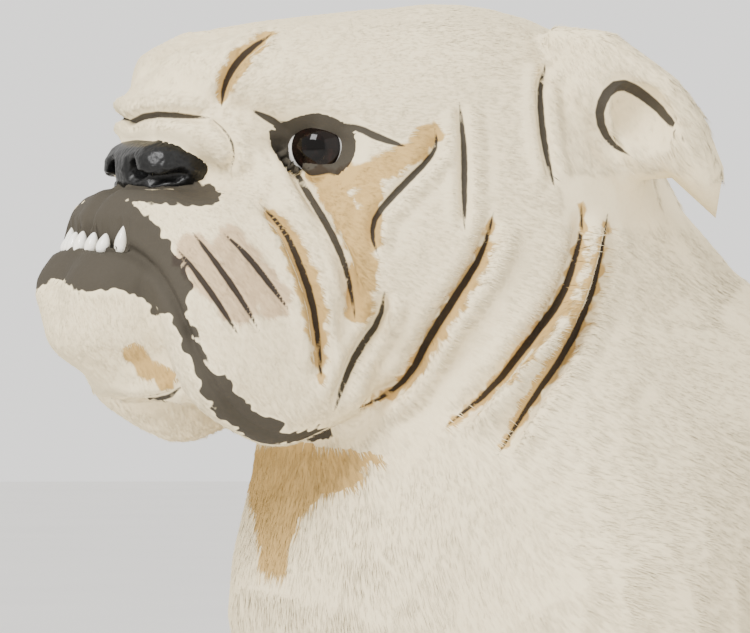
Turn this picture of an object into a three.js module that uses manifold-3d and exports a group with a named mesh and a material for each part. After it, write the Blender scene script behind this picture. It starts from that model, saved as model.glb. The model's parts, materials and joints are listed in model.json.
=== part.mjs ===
// An adult English bulldog standing four-square with its head raised, in millimetres.
// X runs to the dog's left, Y from its nose to its tail, and Z up. The soles of the feet lie on z = 0.
//
// The flesh is one smooth field: rounded masses (ellipsoids and tapered limbs) that melt into each other.
// Each node is that field meshed at its own fineness and parted from its neighbours by a thin cut.
import * as THREE from "three";
import { SimplifyModifier } from "three/addons/modifiers/SimplifyModifier.js";
import { mergeVertices } from "three/addons/utils/BufferGeometryUtils.js";
import Module from "manifold-3d";

// Driving dimensions
const GAP = 0.3; // between nodes that touch
const WITHERS = 392; // height at the shoulders
const EYE = new THREE.Vector3(0, -150, 471); // midway between the eyes: the head is laid out from here
const EYE_APART = 100; // between the middles of the eyeballs
const EYE_RADIUS = 17;
const EYE_TURN = 36; // degrees that each eye looks outward
const LID_REACH = 60; // degrees round the eyeball from its middle to a corner of the lids
const CHEST_HALF_WIDTH = 146;
const FORE_FOOT = [124, -64]; // middle of the left forefoot, x and y
const HIND_FOOT = [106, 246];
const FORE_PAW_SIZE = 1.14;
const HIND_PAW_SIZE = 1;
const PAW_CUT = 56; // height of the cut between leg and paw
const TOE_SPREAD = 18; // sideways from one toe to the next
const TAIL_ROOT = [0, 306, 338];
const TAIL_LENGTH = 92;

const wasm = await Module();
wasm.setup();

// Fields: each returns the distance to a mass, negative inside it
const turn = new THREE.Vector3();

// A mass is {at, size, tilt, spin, roll, melt}: an ellipsoid with half sizes, leaning forward or back by tilt
// (about X), turned by spin (about Z) and rolled (about Y), in degrees. melt is how far it flows into the rest.
function mass(at, size, { tilt = 0, spin = 0, roll = 0, melt = 14 } = {}) {
  const rad = THREE.MathUtils.degToRad;
  const angles = new THREE.Euler(rad(tilt), rad(roll), rad(spin), "ZYX");
  const q = new THREE.Quaternion().setFromEuler(angles).invert();
  const [rx, ry, rz] = size;
  const distance = (x, y, z) => {
    turn.set(x - at[0], y - at[1], z - at[2]).applyQuaternion(q);
    const a = Math.hypot(turn.x / rx, turn.y / ry, turn.z / rz);
    const b = Math.hypot(turn.x / (rx * rx), turn.y / (ry * ry), turn.z / (rz * rz));
    return b < 1e-9 ? -Math.min(rx, ry, rz) : (a * (a - 1)) / b;
  };
  return { distance, melt };
}

// A tapered limb through several points, each [x, y, z, radius].
function limb(points, { melt = 14, flat = 1 } = {}) {
  const distance = (x, y, z) => {
    let best = Infinity;
    for (let i = 0; i + 1 < points.length; i++) {
      const [ax, ay, az, ar] = points[i];
      const [bx, by, bz, br] = points[i + 1];
      const [dx, dy, dz] = [bx - ax, by - ay, bz - az];
      const along = ((x - ax) * dx + (y - ay) * dy + (z - az) * dz) / (dx * dx + dy * dy + dz * dz);
      const t = Math.min(1, Math.max(0, along));
      const away = Math.hypot((x - ax - t * dx) / flat, y - ay - t * dy, z - az - t * dz);
      best = Math.min(best, away - (ar + (br - ar) * t));
    }
    return best;
  };
  return { distance, melt };
}

function meltTogether(a, b, width) {
  const h = Math.max(width - Math.abs(a - b), 0) / width;
  return Math.min(a, b) - (h * h * width) / 4;
}

// Masses melted together; on a mirrored body both sides use the left side's masses.
function body(masses, { mirrored = true, dents = [] } = {}) {
  const [first, ...others] = masses;
  return (px, y, z) => {
    const x = mirrored ? Math.abs(px) : px;
    let d = first.distance(x, y, z);
    for (const other of others) d = meltTogether(d, other.distance(x, y, z), other.melt);
    for (const dent of dents) d = -meltTogether(-d, dent.distance(x, y, z), dent.melt);
    return d;
  };
}

// The head, in its own frame: Y back and Z up from the point between the eyes
const onHead = (x, y, z) => [x, EYE.y + y, EYE.z + z];
const headLimb = (points, options) => limb(points.map(([x, y, z, r]) => [...onHead(x, y, z), r]), options);
const headMass = (at, size, options) => mass(onHead(...at), size, options);
const eyeLocal = [EYE_APART / 2, 1, 0];
const eyeAt = onHead(...eyeLocal);

// A point on a ball a little larger than the eyeball, round from where it looks and up from there, in degrees.
function onEye(round, up, out) {
  const [a, e] = [round + EYE_TURN, up].map(THREE.MathUtils.degToRad);
  const r = EYE_RADIUS + out;
  return [eyeLocal[0] + r * Math.sin(a) * Math.cos(e), eyeLocal[1] - r * Math.cos(a) * Math.cos(e),
    eyeLocal[2] + r * Math.sin(e)];
}

// An eyelid: a roll from the inner corner of the eye to the outer one, arched up or down by lift degrees.
function lid(lift, thick) {
  const points = [];
  for (let round = -LID_REACH; round <= LID_REACH; round += LID_REACH / 3) {
    const up = lift * Math.cos((round / LID_REACH) * Math.PI * 0.5) - round * 0.06;
    points.push([...onEye(round, up, 1.6), thick]);
  }
  return headLimb(points, { melt: 6 });
}

const skullMasses = [
  headMass([0, 64, 4], [76, 84, 58]), // brain case
  headMass([42, 62, 16], [46, 76, 46], { melt: 26 }), // broad flat crown
  headMass([34, -4, 31], [36, 45, 26], { melt: 22 }), // forehead over each eye
  headMass([66, 22, 19], [16, 22, 10], { melt: 14, roll: 20 }), // outer brow
  headMass([66, 46, -44], [34, 56, 52], { melt: 26, tilt: -12 }), // cheek
  headMass([34, 90, -50], [58, 62, 66], { melt: 30 }), // jaw muscle running into the throat
  headMass([0, -18, -32], [48, 46, 40], { melt: 20 }), // muzzle bone
  // the roll over the nose
  headLimb([[0, -61, 15, 14], [20, -57, 13, 14], [39, -38, 2, 12], [49, -24, -14, 9]], { melt: 9 }),
  headLimb([[8, -51, 35, 13], [30, -44, 33, 13], [49, -20, 25, 8]], { melt: 12 }), // folded brow
  headLimb([[28, -16, -28, 11], [52, -16, -36, 11], [70, 2, -46, 10]], { melt: 12 }), // bag under the eye
];
const lipMasses = [
  headLimb([[10, -75, -31, 15], [30, -69, -37, 20], [46, -53, -49, 22]], { melt: 16 }), // whisker pad
  // the edge of the upper lip and its thick lower end
  headLimb([[8, -85, -36, 8], [30, -79, -46, 10], [46, -66, -71, 11], [54, -52, -97, 13]], { melt: 9 }),
  headMass([52, -28, -76], [24, 46, 55], { melt: 18, tilt: 8 }), // hanging upper lip
  headLimb([[53, -44, -97, 15], [56, -22, -113, 16], [59, 2, -104, 15]], { melt: 12 }),
];
const lidMasses = [lid(34, 3.6), lid(-30, 3.2)];
const headDents = [
  headMass([0, -46, 54], [7, 30, 12], { melt: 18 }), // furrow up the forehead
  headLimb([[0, -84, -30, 2], [0, -86, -46, 3]], { melt: 6 }), // split of the upper lip
  headMass(onEye(0, 0, 9), [17, 20, 9], { melt: 3, spin: EYE_TURN }), // opening of the lids
  headLimb([[68, -30, -24, 4], [82, -4, -60, 5], [80, 20, -96, 5]], { melt: 10 }), // crease behind the lip
];

const neckMasses = [
  limb([[0, -50, 425, 90], [0, -26, 372, 103], [0, 0, 330, 112]], { melt: 40 }), // neck
  mass([0, -84, 342], [68, 52, 86], { melt: 34, tilt: 8 }), // throat
  // the dewlap on each side and the thick fold behind it
  limb([[22, -111, 372, 12], [32, -120, 326, 17], [22, -125, 280, 14]], { melt: 18 }),
  limb([[90, -80, 398, 12], [98, -56, 350, 17], [84, -88, 300, 17], [54, -119, 272, 13]], { melt: 26 }),
];
const trunkMasses = [
  mass([0, -22, 256], [CHEST_HALF_WIDTH, 128, 124], { melt: 50 }), // chest
  mass([0, 80, 260], [CHEST_HALF_WIDTH - 6, 136, 120], { melt: 50 }), // ribs
  mass([0, 186, 300], [98, 112, 98], { melt: 50 }), // loin
  mass([0, 244, 300], [94, 66, 78], { melt: 40 }), // rump
  mass([0, -62, 202], [116, 76, 88], { melt: 40 }), // brisket between the forelegs
  mass([0, 20, 330], [84, 60, WITHERS - 330], { melt: 50 }), // withers
  mass([98, -32, 292], [56, 62, 86], { melt: 34, tilt: 18 }), // shoulder
];
const foreLegMasses = [
  limb([[116, -34, 262, 60], [132, -22, 206, 54], [139, -24, 166, 49], [138, -38, 120, 45],
    [129, -50, 76, 40], [FORE_FOOT[0], -54, 32, 37]], { melt: 26 }),
  mass([141, 8, 186], [24, 26, 28], { melt: 20 }), // elbow
];
const hindLegMasses = [
  mass([80, 230, 262], [48, 74, 94], { melt: 34, tilt: -14 }), // thigh
  limb([[100, 200, 208, 52], [104, 232, 166, 45], [105, 274, 122, 34], [105, 272, 82, 31],
    [HIND_FOOT[0], 260, 36, 31]], { melt: 24 }),
  mass([104, 299, 122], [17, 18, 19], { melt: 14 }), // hock
];

// Four arched toes and the pads of a foot whose middle is [x, y].
function footMasses([x, y], size) {
  const toes = [-1.5, -0.5, 0.5, 1.5].map((place) => {
    const side = x + place * TOE_SPREAD * size;
    const ahead = y - (20 - Math.abs(place) * 9) * size;
    return limb([[x + place * 12 * size, y + 8, 33 * size, 17 * size], [side, ahead, 27 * size, 14 * size],
      [side + place, ahead - 13 * size, 13 * size, 12 * size]], { melt: 5 });
  });
  return [mass([x, y + 8 * size, 21 * size], [36 * size, 40 * size, 27 * size], { melt: 8 }), ...toes];
}
// A blunt claw at the end of each toe.
function clawMasses([x, y], size) {
  return [-1.5, -0.5, 0.5, 1.5].map((place) => {
    const side = x + place * (TOE_SPREAD + 1.3) * size;
    const ahead = y - (36 - Math.abs(place) * 9) * size;
    return limb([[side, ahead, 18 * size, 5], [side, ahead - 9, 14 * size, 4],
      [side, ahead - 15, 8 * size, 2.4]], { melt: 3 });
  });
}
const paws = [[FORE_FOOT, FORE_PAW_SIZE], [HIND_FOOT, HIND_PAW_SIZE]];
const pawMasses = paws.flatMap(([at, size]) => [...footMasses(at, size), ...clawMasses(at, size)]);

const flesh = body([...skullMasses, ...neckMasses, ...trunkMasses, ...lipMasses, ...lidMasses,
  ...foreLegMasses, ...hindLegMasses, ...pawMasses], { dents: headDents });

const INCISORS = [4, 12.5, 20.5];
const jawField = body([
  headMass([0, -65, -72], [44, 46, 29], { melt: 14, tilt: 14 }), // chin
  headMass([18, -73, -57], [26, 36, 20], { melt: 14, tilt: 10 }), // lower lip
  headMass([0, -28, -90], [46, 56, 24], { melt: 18, tilt: -6 }), // underjaw
  headLimb([[0, -78, -97, 11], [22, -70, -101, 12], [40, -46, -104, 11]], { melt: 8 }), // fold of the chin
  ...INCISORS.map((x, i) => {
    return headLimb([[x, -97 + i * 2, -49, 4.8], [x, -98 + i * 2, -36 + i, 3]], { melt: 3 });
  }),
  headLimb([[29, -88, -49, 6], [30, -90, -31, 2.8]], { melt: 3 }), // canine tooth
], { dents: [headMass([0, -64, -33], [24, 26, 10], { melt: 6 })] });

const noseField = body([
  headMass([0, -62, -9], [24, 15, 14], { melt: 6 }), // pad
  headMass([18, -57, -8], [14, 18, 12.5], { melt: 8 }), // wing of each nostril
], {
  dents: [
    headLimb([[10, -81, -11, 5], [14, -64, -8, 5]], { melt: 3 }), // nostril
    headLimb([[17, -76, -14, 3], [29, -60, -12, 2.6]], { melt: 3 }), // slit at its side
    headLimb([[0, -78, -1, 1.6], [0, -79, -23, 2.2]], { melt: 3 }), // groove down the middle
  ],
});

// The rose ear: a folded flap round a cup that opens forward and outward.
const earField = body([
  headMass([64, 112, 22], [20, 20, 28], { melt: 14, roll: 24 }), // root
  headMass([84, 120, 26], [18, 16, 20], { melt: 14, roll: 20 }), // front of the flap
  headMass([86, 140, 6], [16, 16, 22], { melt: 14, roll: 12 }), // back of the cup
  headLimb([[54, 102, 38, 8], [74, 105, 48, 8], [95, 118, 45, 8], [108, 140, 26, 8], [108, 160, -4, 7],
    [101, 169, -30, 3.6]], { melt: 10 }), // front edge, folded over and back
  // the flap's back edge
  headLimb([[66, 124, 8, 11], [86, 138, 22, 11], [99, 150, 10, 11], [100, 160, -10, 8]], { melt: 16 }),
], {
  mirrored: false,
  dents: [headMass([105, 130, 12], [15, 10, 14], { melt: 6, roll: 14, tilt: 24 })], // cup
});

const tailField = body([
  limb([[TAIL_ROOT[0], TAIL_ROOT[1] - 30, TAIL_ROOT[2], 28],
    [TAIL_ROOT[0], TAIL_ROOT[1] + 6, TAIL_ROOT[2] - 14, 22],
    [TAIL_ROOT[0] + 3, TAIL_ROOT[1] + 20, TAIL_ROOT[2] - 44, 15],
    [TAIL_ROOT[0] - 2, TAIL_ROOT[1] + 20, TAIL_ROOT[2] - TAIL_LENGTH, 7]]),
], { mirrored: false });

// Meshing: a field becomes a closed surface on a grid whose lines may be closer where detail is needed
// spans: [[from, to, step], ...] along one axis
function gridLines(spans) {
  const lines = [];
  for (const [from, to, step] of spans) {
    const cells = Math.ceil((to - from) / step);
    for (let i = 0; i < cells; i++) lines.push(from + ((to - from) * i) / cells);
  }
  lines.push(spans.at(-1)[1]);
  return lines;
}

function surface(field, spansX, spansY, spansZ) {
  const [xs, ys, zs] = [spansX, spansY, spansZ].map(gridLines);
  const [nx, ny, nz] = [xs.length, ys.length, zs.length];
  const at = (i, j, k) => (k * ny + j) * nx + i;
  const value = new Float64Array(nx * ny * nz);
  for (let k = 0; k < nz; k++)
    for (let j = 0; j < ny; j++)
      for (let i = 0; i < nx; i++) {
        const edge = i === 0 || j === 0 || k === 0 || i === nx - 1 || j === ny - 1 || k === nz - 1;
        const d = field(xs[i], ys[j], zs[k]);
        value[at(i, j, k)] = edge ? Math.max(d, 0.01) : d;
      }
  const positions = [];
  const index = [];
  const vertexOf = new Int32Array(value.length).fill(-1);
  const corner = [];
  for (let c = 0; c < 8; c++) corner.push([c & 1, (c >> 1) & 1, c >> 2]);
  // One vertex in each cell that the surface crosses, at the mean of the crossings on its edges.
  for (let k = 0; k + 1 < nz; k++)
    for (let j = 0; j + 1 < ny; j++)
      for (let i = 0; i + 1 < nx; i++) {
        const sum = [0, 0, 0];
        let crossings = 0;
        for (let a = 0; a < 8; a++)
          for (const bit of [1, 2, 4]) {
            if (a & bit) continue;
            const [p, q] = [corner[a], corner[a | bit]];
            const vp = value[at(i + p[0], j + p[1], k + p[2])];
            const vq = value[at(i + q[0], j + q[1], k + q[2])];
            if (vp < 0 === vq < 0) continue;
            const t = vp / (vp - vq);
            sum[0] += xs[i + p[0]] + t * (xs[i + q[0]] - xs[i + p[0]]);
            sum[1] += ys[j + p[1]] + t * (ys[j + q[1]] - ys[j + p[1]]);
            sum[2] += zs[k + p[2]] + t * (zs[k + q[2]] - zs[k + p[2]]);
            crossings++;
          }
        if (!crossings) continue;
        vertexOf[at(i, j, k)] = positions.length / 3;
        positions.push(sum[0] / crossings, sum[1] / crossings, sum[2] / crossings);
      }
  // One quad round each grid edge that the surface crosses, split along its shorter diagonal.
  const point = (v) => new THREE.Vector3().fromArray(positions, 3 * v);
  const quad = (a, b, c, d) => {
    if (point(a).distanceTo(point(c)) <= point(b).distanceTo(point(d))) index.push(a, b, c, a, c, d);
    else index.push(b, c, d, b, d, a);
  };
  for (let k = 0; k + 1 < nz; k++)
    for (let j = 0; j + 1 < ny; j++)
      for (let i = 0; i + 1 < nx; i++) {
        const here = value[at(i, j, k)] < 0;
        const ring = (du, dv) => [
          vertexOf[at(i, j, k)], vertexOf[at(i - du[0], j - du[1], k - du[2])],
          vertexOf[at(i - du[0] - dv[0], j - du[1] - dv[1], k - du[2] - dv[2])],
          vertexOf[at(i - dv[0], j - dv[1], k - dv[2])],
        ];
        const axes = [
          [[1, 0, 0], [0, 1, 0], [0, 0, 1]],
          [[0, 1, 0], [0, 0, 1], [1, 0, 0]],
          [[0, 0, 1], [1, 0, 0], [0, 1, 0]],
        ];
        for (const [step, du, dv] of axes) {
          const there = value[at(i + step[0], j + step[1], k + step[2])] < 0;
          if (here === there) continue;
          const four = ring(du, dv);
          quad(...(here ? four : four.reverse()));
        }
      }
  return new THREE.BufferGeometry()
    .setAttribute("position", new THREE.Float32BufferAttribute(positions, 3))
    .setIndex(index);
}

// A geometry with nothing but its points, each held once, and its triangles.
function bareMesh(geometry) {
  const bare = geometry.clone();
  bare.deleteAttribute("normal");
  bare.deleteAttribute("uv");
  return mergeVertices(bare, 1e-3);
}

// Whether any edge is shared by more or fewer than two triangles.
function pinched(geometry) {
  const uses = new Map();
  const index = geometry.index.array;
  for (let i = 0; i < index.length; i++) {
    const ends = [index[i], index[i % 3 === 2 ? i - 2 : i + 1]].sort((a, b) => a - b).join(" ");
    uses.set(ends, (uses.get(ends) ?? 0) + 1);
  }
  return [...uses.values()].some((count) => count !== 2);
}

// A field's surface in about that many triangles: few where it is smooth, more where it is folded. The grid
// is made a little finer until no edge is pinched. spans: for X, Y and Z, as in gridLines.
async function leanSurface(field, spans, triangles) {
  for (let fine = 1; ; fine *= 0.97) {
    const finer = spans.map((axis) => axis.map(([from, to, step]) => [from, to, step * fine]));
    const whole = surface(field, ...finer);
    if (pinched(whole)) continue;
    const spare = whole.attributes.position.count * (1 - (3 * triangles) / whole.index.count);
    const made = bareMesh(await new SimplifyModifier().modify(whole, Math.round(spare)));
    if (!pinched(made)) return made;
  }
}

// Cutting and joining
function solidOf(geometry) {
  const merged = bareMesh(geometry);
  return new wasm.Manifold(new wasm.Mesh({
    numProp: 3,
    vertProperties: new Float32Array(merged.attributes.position.array),
    triVerts: new Uint32Array(merged.index.array),
  }));
}

function geometryOf(solid) {
  const largest = solid.decompose().sort((a, b) => b.volume() - a.volume())[0];
  const mesh = largest.getMesh();
  return new THREE.BufferGeometry()
    .setAttribute("position", new THREE.Float32BufferAttribute(mesh.vertProperties, 3))
    .setIndex([...mesh.triVerts]);
}

// A node's shape grown by the gap all over, to cut its seat in the node that holds it.
function seat(geometry) {
  const made = bareMesh(geometry);
  made.computeVertexNormals();
  const [position, normal] = [made.attributes.position, made.attributes.normal];
  for (let i = 0; i < position.count; i++)
    position.setXYZ(i, position.getX(i) + GAP * normal.getX(i), position.getY(i) + GAP * normal.getY(i),
      position.getZ(i) + GAP * normal.getZ(i));
  // the shape itself too, for the deepest folds, which growing it can leave out
  return solidOf(made).add(solidOf(geometry));
}

function mirrorX(geometry) {
  const made = bareMesh(geometry).scale(-1, 1, 1);
  const index = made.index.array;
  for (let i = 0; i < index.length; i += 3) [index[i + 1], index[i + 2]] = [index[i + 2], index[i + 1]];
  return made;
}

// Everything beyond a plane, as a large block: the plane's point and the way into the block.
const BLOCK = 1600;
function beyond([point, normal], inset = GAP / 2) {
  const n = new THREE.Vector3(...normal).normalize();
  const block = new THREE.BoxGeometry(BLOCK, BLOCK, BLOCK);
  block.applyQuaternion(new THREE.Quaternion().setFromUnitVectors(new THREE.Vector3(0, 0, 1), n));
  block.translate(...new THREE.Vector3(...point).addScaledVector(n, BLOCK / 2 + inset).toArray());
  return solidOf(block);
}
const keep = (solid, cuts) => cuts.reduce((left, cut) => left.intersect(beyond(cut)), solid);
const turned = ([point, normal]) => [point, normal.map((n) => -n)];
const onRight = ([point, normal]) => [[-point[0], point[1], point[2]], [-normal[0], normal[1], normal[2]]];

// Cuts between nodes: a point on each, and the way towards the tail, the legs or the ground.
const HEAD_CUT = [onHead(0, 88, -30), [0, 0.8, -0.6]];
const NECK_CUT = [[0, 5, 400], [0, 0.667, -0.745]];
const FORE_LEG_CUTS = [
  [[86, -20, 160], [0.75, 0, -0.66]],
  [[0, -122, 200], [0, 1, 0]],
  [[0, 60, 200], [0, -1, 0]],
];
const HIND_LEG_CUTS = [[[66, 240, 205], [0.8, 0, -0.6]], [[0, 150, 200], [0, 1, 0]]];
const WRIST_CUT = [[0, 0, PAW_CUT], [0, 0, -1]];
const FLOOR = [[0, 0, -GAP / 2], [0, 0, 1]];

// Nodes
const eyeBall = (side) => new THREE.SphereGeometry(EYE_RADIUS, 16, 10).rotateX(Math.PI / 2)
  .translate(side * eyeAt[0], eyeAt[1], eyeAt[2]);

const jaw = await leanSurface(jawField,
  [[[-64, 64, 4.1]], [[EYE.y - 122, EYE.y + 40, 4.1]], [[EYE.z - 132, EYE.z - 22, 4.1]]], 1100);
const nose = await leanSurface(noseField,
  [[[-42, 42, 2]], [[EYE.y - 92, EYE.y - 32, 2]], [[EYE.z - 36, EYE.z + 14, 2]]], 560);
const ear = await leanSurface(earField,
  [[[34, 128, 3.6]], [[EYE.y + 80, EYE.y + 184, 3.6]], [[EYE.z - 46, EYE.z + 66, 3.6]]], 420);
const tail = await leanSurface(tailField, [[[-40, 40, 7]], [[TAIL_ROOT[1] - 70, TAIL_ROOT[1] + 50, 7]],
  [[TAIL_ROOT[2] - 112, TAIL_ROOT[2] + 40, 7]]], 170);

async function makeHead() {
  const skin = await leanSurface(flesh, [
    [[-122, -80, 7], [-80, 80, 4.6], [80, 122, 7]],
    [[EYE.y - 100, EYE.y + 24, 4.6], [EYE.y + 24, EYE.y + 160, 8]],
    [[EYE.z - 150, EYE.z - 50, 5.6], [EYE.z - 50, EYE.z + 30, 4.4], [EYE.z + 30, EYE.z + 84, 7]],
  ], 3300);
  let head = keep(solidOf(skin), [turned(HEAD_CUT)]);
  for (const piece of [jaw, nose, eyeBall(1), eyeBall(-1), ear, mirrorX(ear)]) {
    head = head.subtract(seat(piece));
  }
  return geometryOf(head);
}

async function makeNeck() {
  const skin = await leanSurface(flesh, [[[-150, 150, 9]], [[-190, 110, 9]], [[230, 560, 9]]], 1300);
  const neck = keep(solidOf(skin), [HEAD_CUT, turned(NECK_CUT)]);
  return geometryOf([jaw, ear, mirrorX(ear)].reduce((left, piece) => left.subtract(seat(piece)), neck));
}

async function makeTorso() {
  const skin = await leanSurface(flesh, [[[-200, 200, 11]], [[-190, 340, 11]], [[70, 500, 11]]], 2000);
  let torso = keep(solidOf(skin), [NECK_CUT]);
  for (const side of [(cut) => cut, onRight])
    for (const cuts of [FORE_LEG_CUTS, HIND_LEG_CUTS]) {
      const leg = cuts.map(side).reduce((left, cut) => left.intersect(beyond(cut, -GAP / 2)),
        beyond(side([[20, 0, 0], [1, 0, 0]])));
      torso = torso.subtract(leg);
    }
  return geometryOf(torso.subtract(seat(tail)));
}

async function makeLeg(cuts, spans, triangles) {
  const skin = await leanSurface(flesh, spans, triangles);
  return geometryOf(keep(solidOf(skin), [...cuts, turned(WRIST_CUT)]));
}

async function makePaw([x, y], triangles) {
  const skin = await leanSurface(flesh,
    [[[x - 58, x + 58, 4.6]], [[y - 72, y + 70, 4.6]], [[-28, PAW_CUT + 30, 4.6]]], triangles);
  return geometryOf(keep(solidOf(skin), [WRIST_CUT, FLOOR]));
}

// Materials and assembly
const coat = new THREE.MeshStandardMaterial({ color: 0xe5dece, roughness: 0.9, metalness: 0 });
const darkSkin = new THREE.MeshStandardMaterial({ color: 0x151314, roughness: 0.35, metalness: 0 });
const eyeSurface = new THREE.MeshStandardMaterial({ color: 0x1c1310, roughness: 0.08, metalness: 0 });

const dog = new THREE.Group();
function add(name, geometry, material = coat) {
  const mesh = new THREE.Mesh(geometry, material);
  mesh.name = name;
  dog.add(mesh);
}
function addPair(name, left, material = coat) {
  add(name + "_left", left, material);
  add(name + "_right", mirrorX(left), material);
}

add("head", await makeHead());
add("lower_jaw", geometryOf(solidOf(jaw)));
add("nose", geometryOf(solidOf(nose)), darkSkin);
addPair("ear", geometryOf(solidOf(ear)));
addPair("eye", eyeBall(1), eyeSurface);
add("neck", await makeNeck());
add("torso", await makeTorso());
addPair("foreleg", await makeLeg(FORE_LEG_CUTS,
  [[[30, 220, 9]], [[-150, 96, 9]], [[PAW_CUT - 40, 340, 9]]], 700));
addPair("forepaw", await makePaw(FORE_FOOT, 760));
addPair("hindleg", await makeLeg(HIND_LEG_CUTS,
  [[[20, 190, 9]], [[130, 350, 9]], [[PAW_CUT - 40, 400, 9]]], 700));
addPair("hindpaw", await makePaw(HIND_FOOT, 660));
add("tail", geometryOf(solidOf(tail)));

// The origin: on the floor under the middle of the animal.
const box = new THREE.Box3().setFromObject(dog);
for (const mesh of dog.children) mesh.position.y = -(box.min.y + box.max.y) / 2;

export default dog;
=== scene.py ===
"""English bulldog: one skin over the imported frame, its short coat, face pieces, claws and a plain studio."""
import json
import math

import bpy
import numpy as np
from bpy.props import FloatProperty, FloatVectorProperty, IntProperty
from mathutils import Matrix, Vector
from mathutils.bvhtree import BVHTree

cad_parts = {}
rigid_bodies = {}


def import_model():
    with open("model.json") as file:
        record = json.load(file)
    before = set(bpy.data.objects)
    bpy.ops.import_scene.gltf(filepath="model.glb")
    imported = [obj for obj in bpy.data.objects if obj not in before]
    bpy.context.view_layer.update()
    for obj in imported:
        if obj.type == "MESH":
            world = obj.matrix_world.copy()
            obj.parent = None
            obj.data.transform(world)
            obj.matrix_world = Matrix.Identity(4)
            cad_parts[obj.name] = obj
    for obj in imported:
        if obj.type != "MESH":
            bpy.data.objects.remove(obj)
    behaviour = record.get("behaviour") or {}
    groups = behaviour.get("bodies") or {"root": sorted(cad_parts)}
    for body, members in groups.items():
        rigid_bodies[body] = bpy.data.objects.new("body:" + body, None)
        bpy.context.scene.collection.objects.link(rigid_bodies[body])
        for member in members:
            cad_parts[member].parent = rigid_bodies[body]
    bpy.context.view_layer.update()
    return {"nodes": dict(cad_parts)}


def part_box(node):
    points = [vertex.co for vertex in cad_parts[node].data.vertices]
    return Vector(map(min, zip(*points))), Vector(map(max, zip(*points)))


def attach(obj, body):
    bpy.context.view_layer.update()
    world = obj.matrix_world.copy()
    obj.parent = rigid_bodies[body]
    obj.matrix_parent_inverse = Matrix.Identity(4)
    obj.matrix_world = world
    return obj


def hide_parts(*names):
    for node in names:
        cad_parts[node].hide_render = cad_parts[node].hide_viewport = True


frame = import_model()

bl_info = {
    "name": "English Bulldog",
    "version": (1, 0, 0),
    "blender": (4, 5, 0),
    "location": "View3D > Sidebar > Bulldog",
    "description": "Builds the skin, coat, eyes, nose, teeth and claws of a bulldog around its solid frame",
    "category": "Object",
}

SIDES = (("left", 1), ("right", -1))
FLESH = [name for name in frame["nodes"] if not name.startswith(("eye", "nose"))]

EYE_LOW, EYE_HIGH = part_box("eye_left")
EYE = np.array((Vector(EYE_LOW) + Vector(EYE_HIGH)) / 2)
EYE_RADIUS = (EYE_HIGH[2] - EYE_LOW[2]) / 2
NOSE_LOW, NOSE_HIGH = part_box("nose")
NOSE_TIP = np.array([0, NOSE_LOW[1], (NOSE_LOW[2] + NOSE_HIGH[2]) / 2])
LOOK = math.radians(40)  # how far the lids of each eye turn outward
GAZE = math.radians(47)  # how far the iris does
SHIFT = EYE[1] + 0.149  # the folds, feet and camera are laid out from a point this far along Y
TAIL_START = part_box("torso")[1][1]
EAR_BOXES = [[np.array(corner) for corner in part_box("ear_" + name)] for name, _ in SIDES]

# Parts of the body: where each begins and where it is whole, first along Y and then up, in metres
FACE = (-0.13, -0.2), (0.30, 0.36)
HEAD = (-0.03, -0.09), (0.30, 0.36)
TRUNK = (-0.11, -0.03), (0.06, 0.09)
SHORT_FACE = (-0.12, -0.2), (0.30, 0.35)
SHORT_HEAD = (-0.02, -0.09), (0.32, 0.38)
BREECH = (0.2, 0.26), (0.12, 0.18)

# The head's markings and folds are laid out on a flat plane that it is seen against from its front quarter:
# each side of the head is read by (across, up), in millimetres, with across growing towards the neck.
QUARTER = math.radians(65)
QUARTER_START = 0.0381  # where across is 0 on the body's middle, along Y from SHIFT


def quarter_plane(points):
    """(across, up) of each point, in millimetres. Both sides of the animal read as the left one."""
    back = points[:, 1] - SHIFT - QUARTER_START
    across = np.abs(points[:, 0]) * math.cos(QUARTER) + back * math.sin(QUARTER)
    return np.stack([across, points[:, 2]], 1) * 1000


# Settings


def colour(name, description, default):
    return FloatVectorProperty(
        name=name, description=description, subtype="COLOR", size=3, min=0, max=1, default=default
    )


def length(name, description, default):
    return FloatProperty(
        name=name, description=description, subtype="DISTANCE", unit="LENGTH", min=0, default=default
    )


class BulldogSkinSettings(bpy.types.PropertyGroup):
    cell: length("Cell", "Size of the skin's mesh cells before the body is thinned", 0.0024)
    inset: length("Inset", "How far the skin lies inside the solid frame, to leave room for the coat", 0.0012)
    folds: FloatProperty(name="Fold depth", description="Scales every fold of the face and neck", default=1.0)
    triangles: IntProperty(name="Triangles", description="Most triangles in the skin", default=140000)
    cream: colour("Cream", "Ground colour of the coat", (0.86, 0.735, 0.48))
    # Fawn also paints shade: in the folds, in the fold under the chin and on the throat.
    fawn: colour("Fawn", "Colour in the folds and patches", (0.52, 0.34, 0.125))
    # The dark colour: skin of the lips, lids, gums and pads, and painted shade along the creases, under the flews
    # and in the cups of the ears.
    mask: colour("Mask", "Dark skin of the lips, lids and creases", (0.013, 0.012, 0.0135))
    blush: colour("Blush", "Bare whisker bed of the muzzle", (0.58, 0.43, 0.26))


class BulldogCoatSettings(bpy.types.PropertyGroup):
    hair: length("Hair", "Length of a tuft on the trunk", 0.0075)
    width: length("Width", "Width of a tuft at its root", 0.0009)
    tufts: IntProperty(name="Tufts", description="Most tufts in each piece of the coat", default=49000, min=0)
    seed: IntProperty(name="Seed", description="Start of the random numbers", default=7)


class BulldogFaceSettings(bpy.types.PropertyGroup):
    iris: length("Iris", "Radius of the iris", 0.0112)
    iris_colour: colour("Iris colour", "Ring of the iris", (0.006, 0.004, 0.003))
    white: colour("White", "White of the eye", (0.86, 0.84, 0.80))
    nose_colour: colour("Nose", "Leather of the nose", (0.004, 0.004, 0.004))
    enamel: colour("Enamel", "Colour of the teeth", (0.93, 0.91, 0.85))
    horn: colour("Horn", "Colour of the claws", (0.10, 0.075, 0.06))


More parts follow.
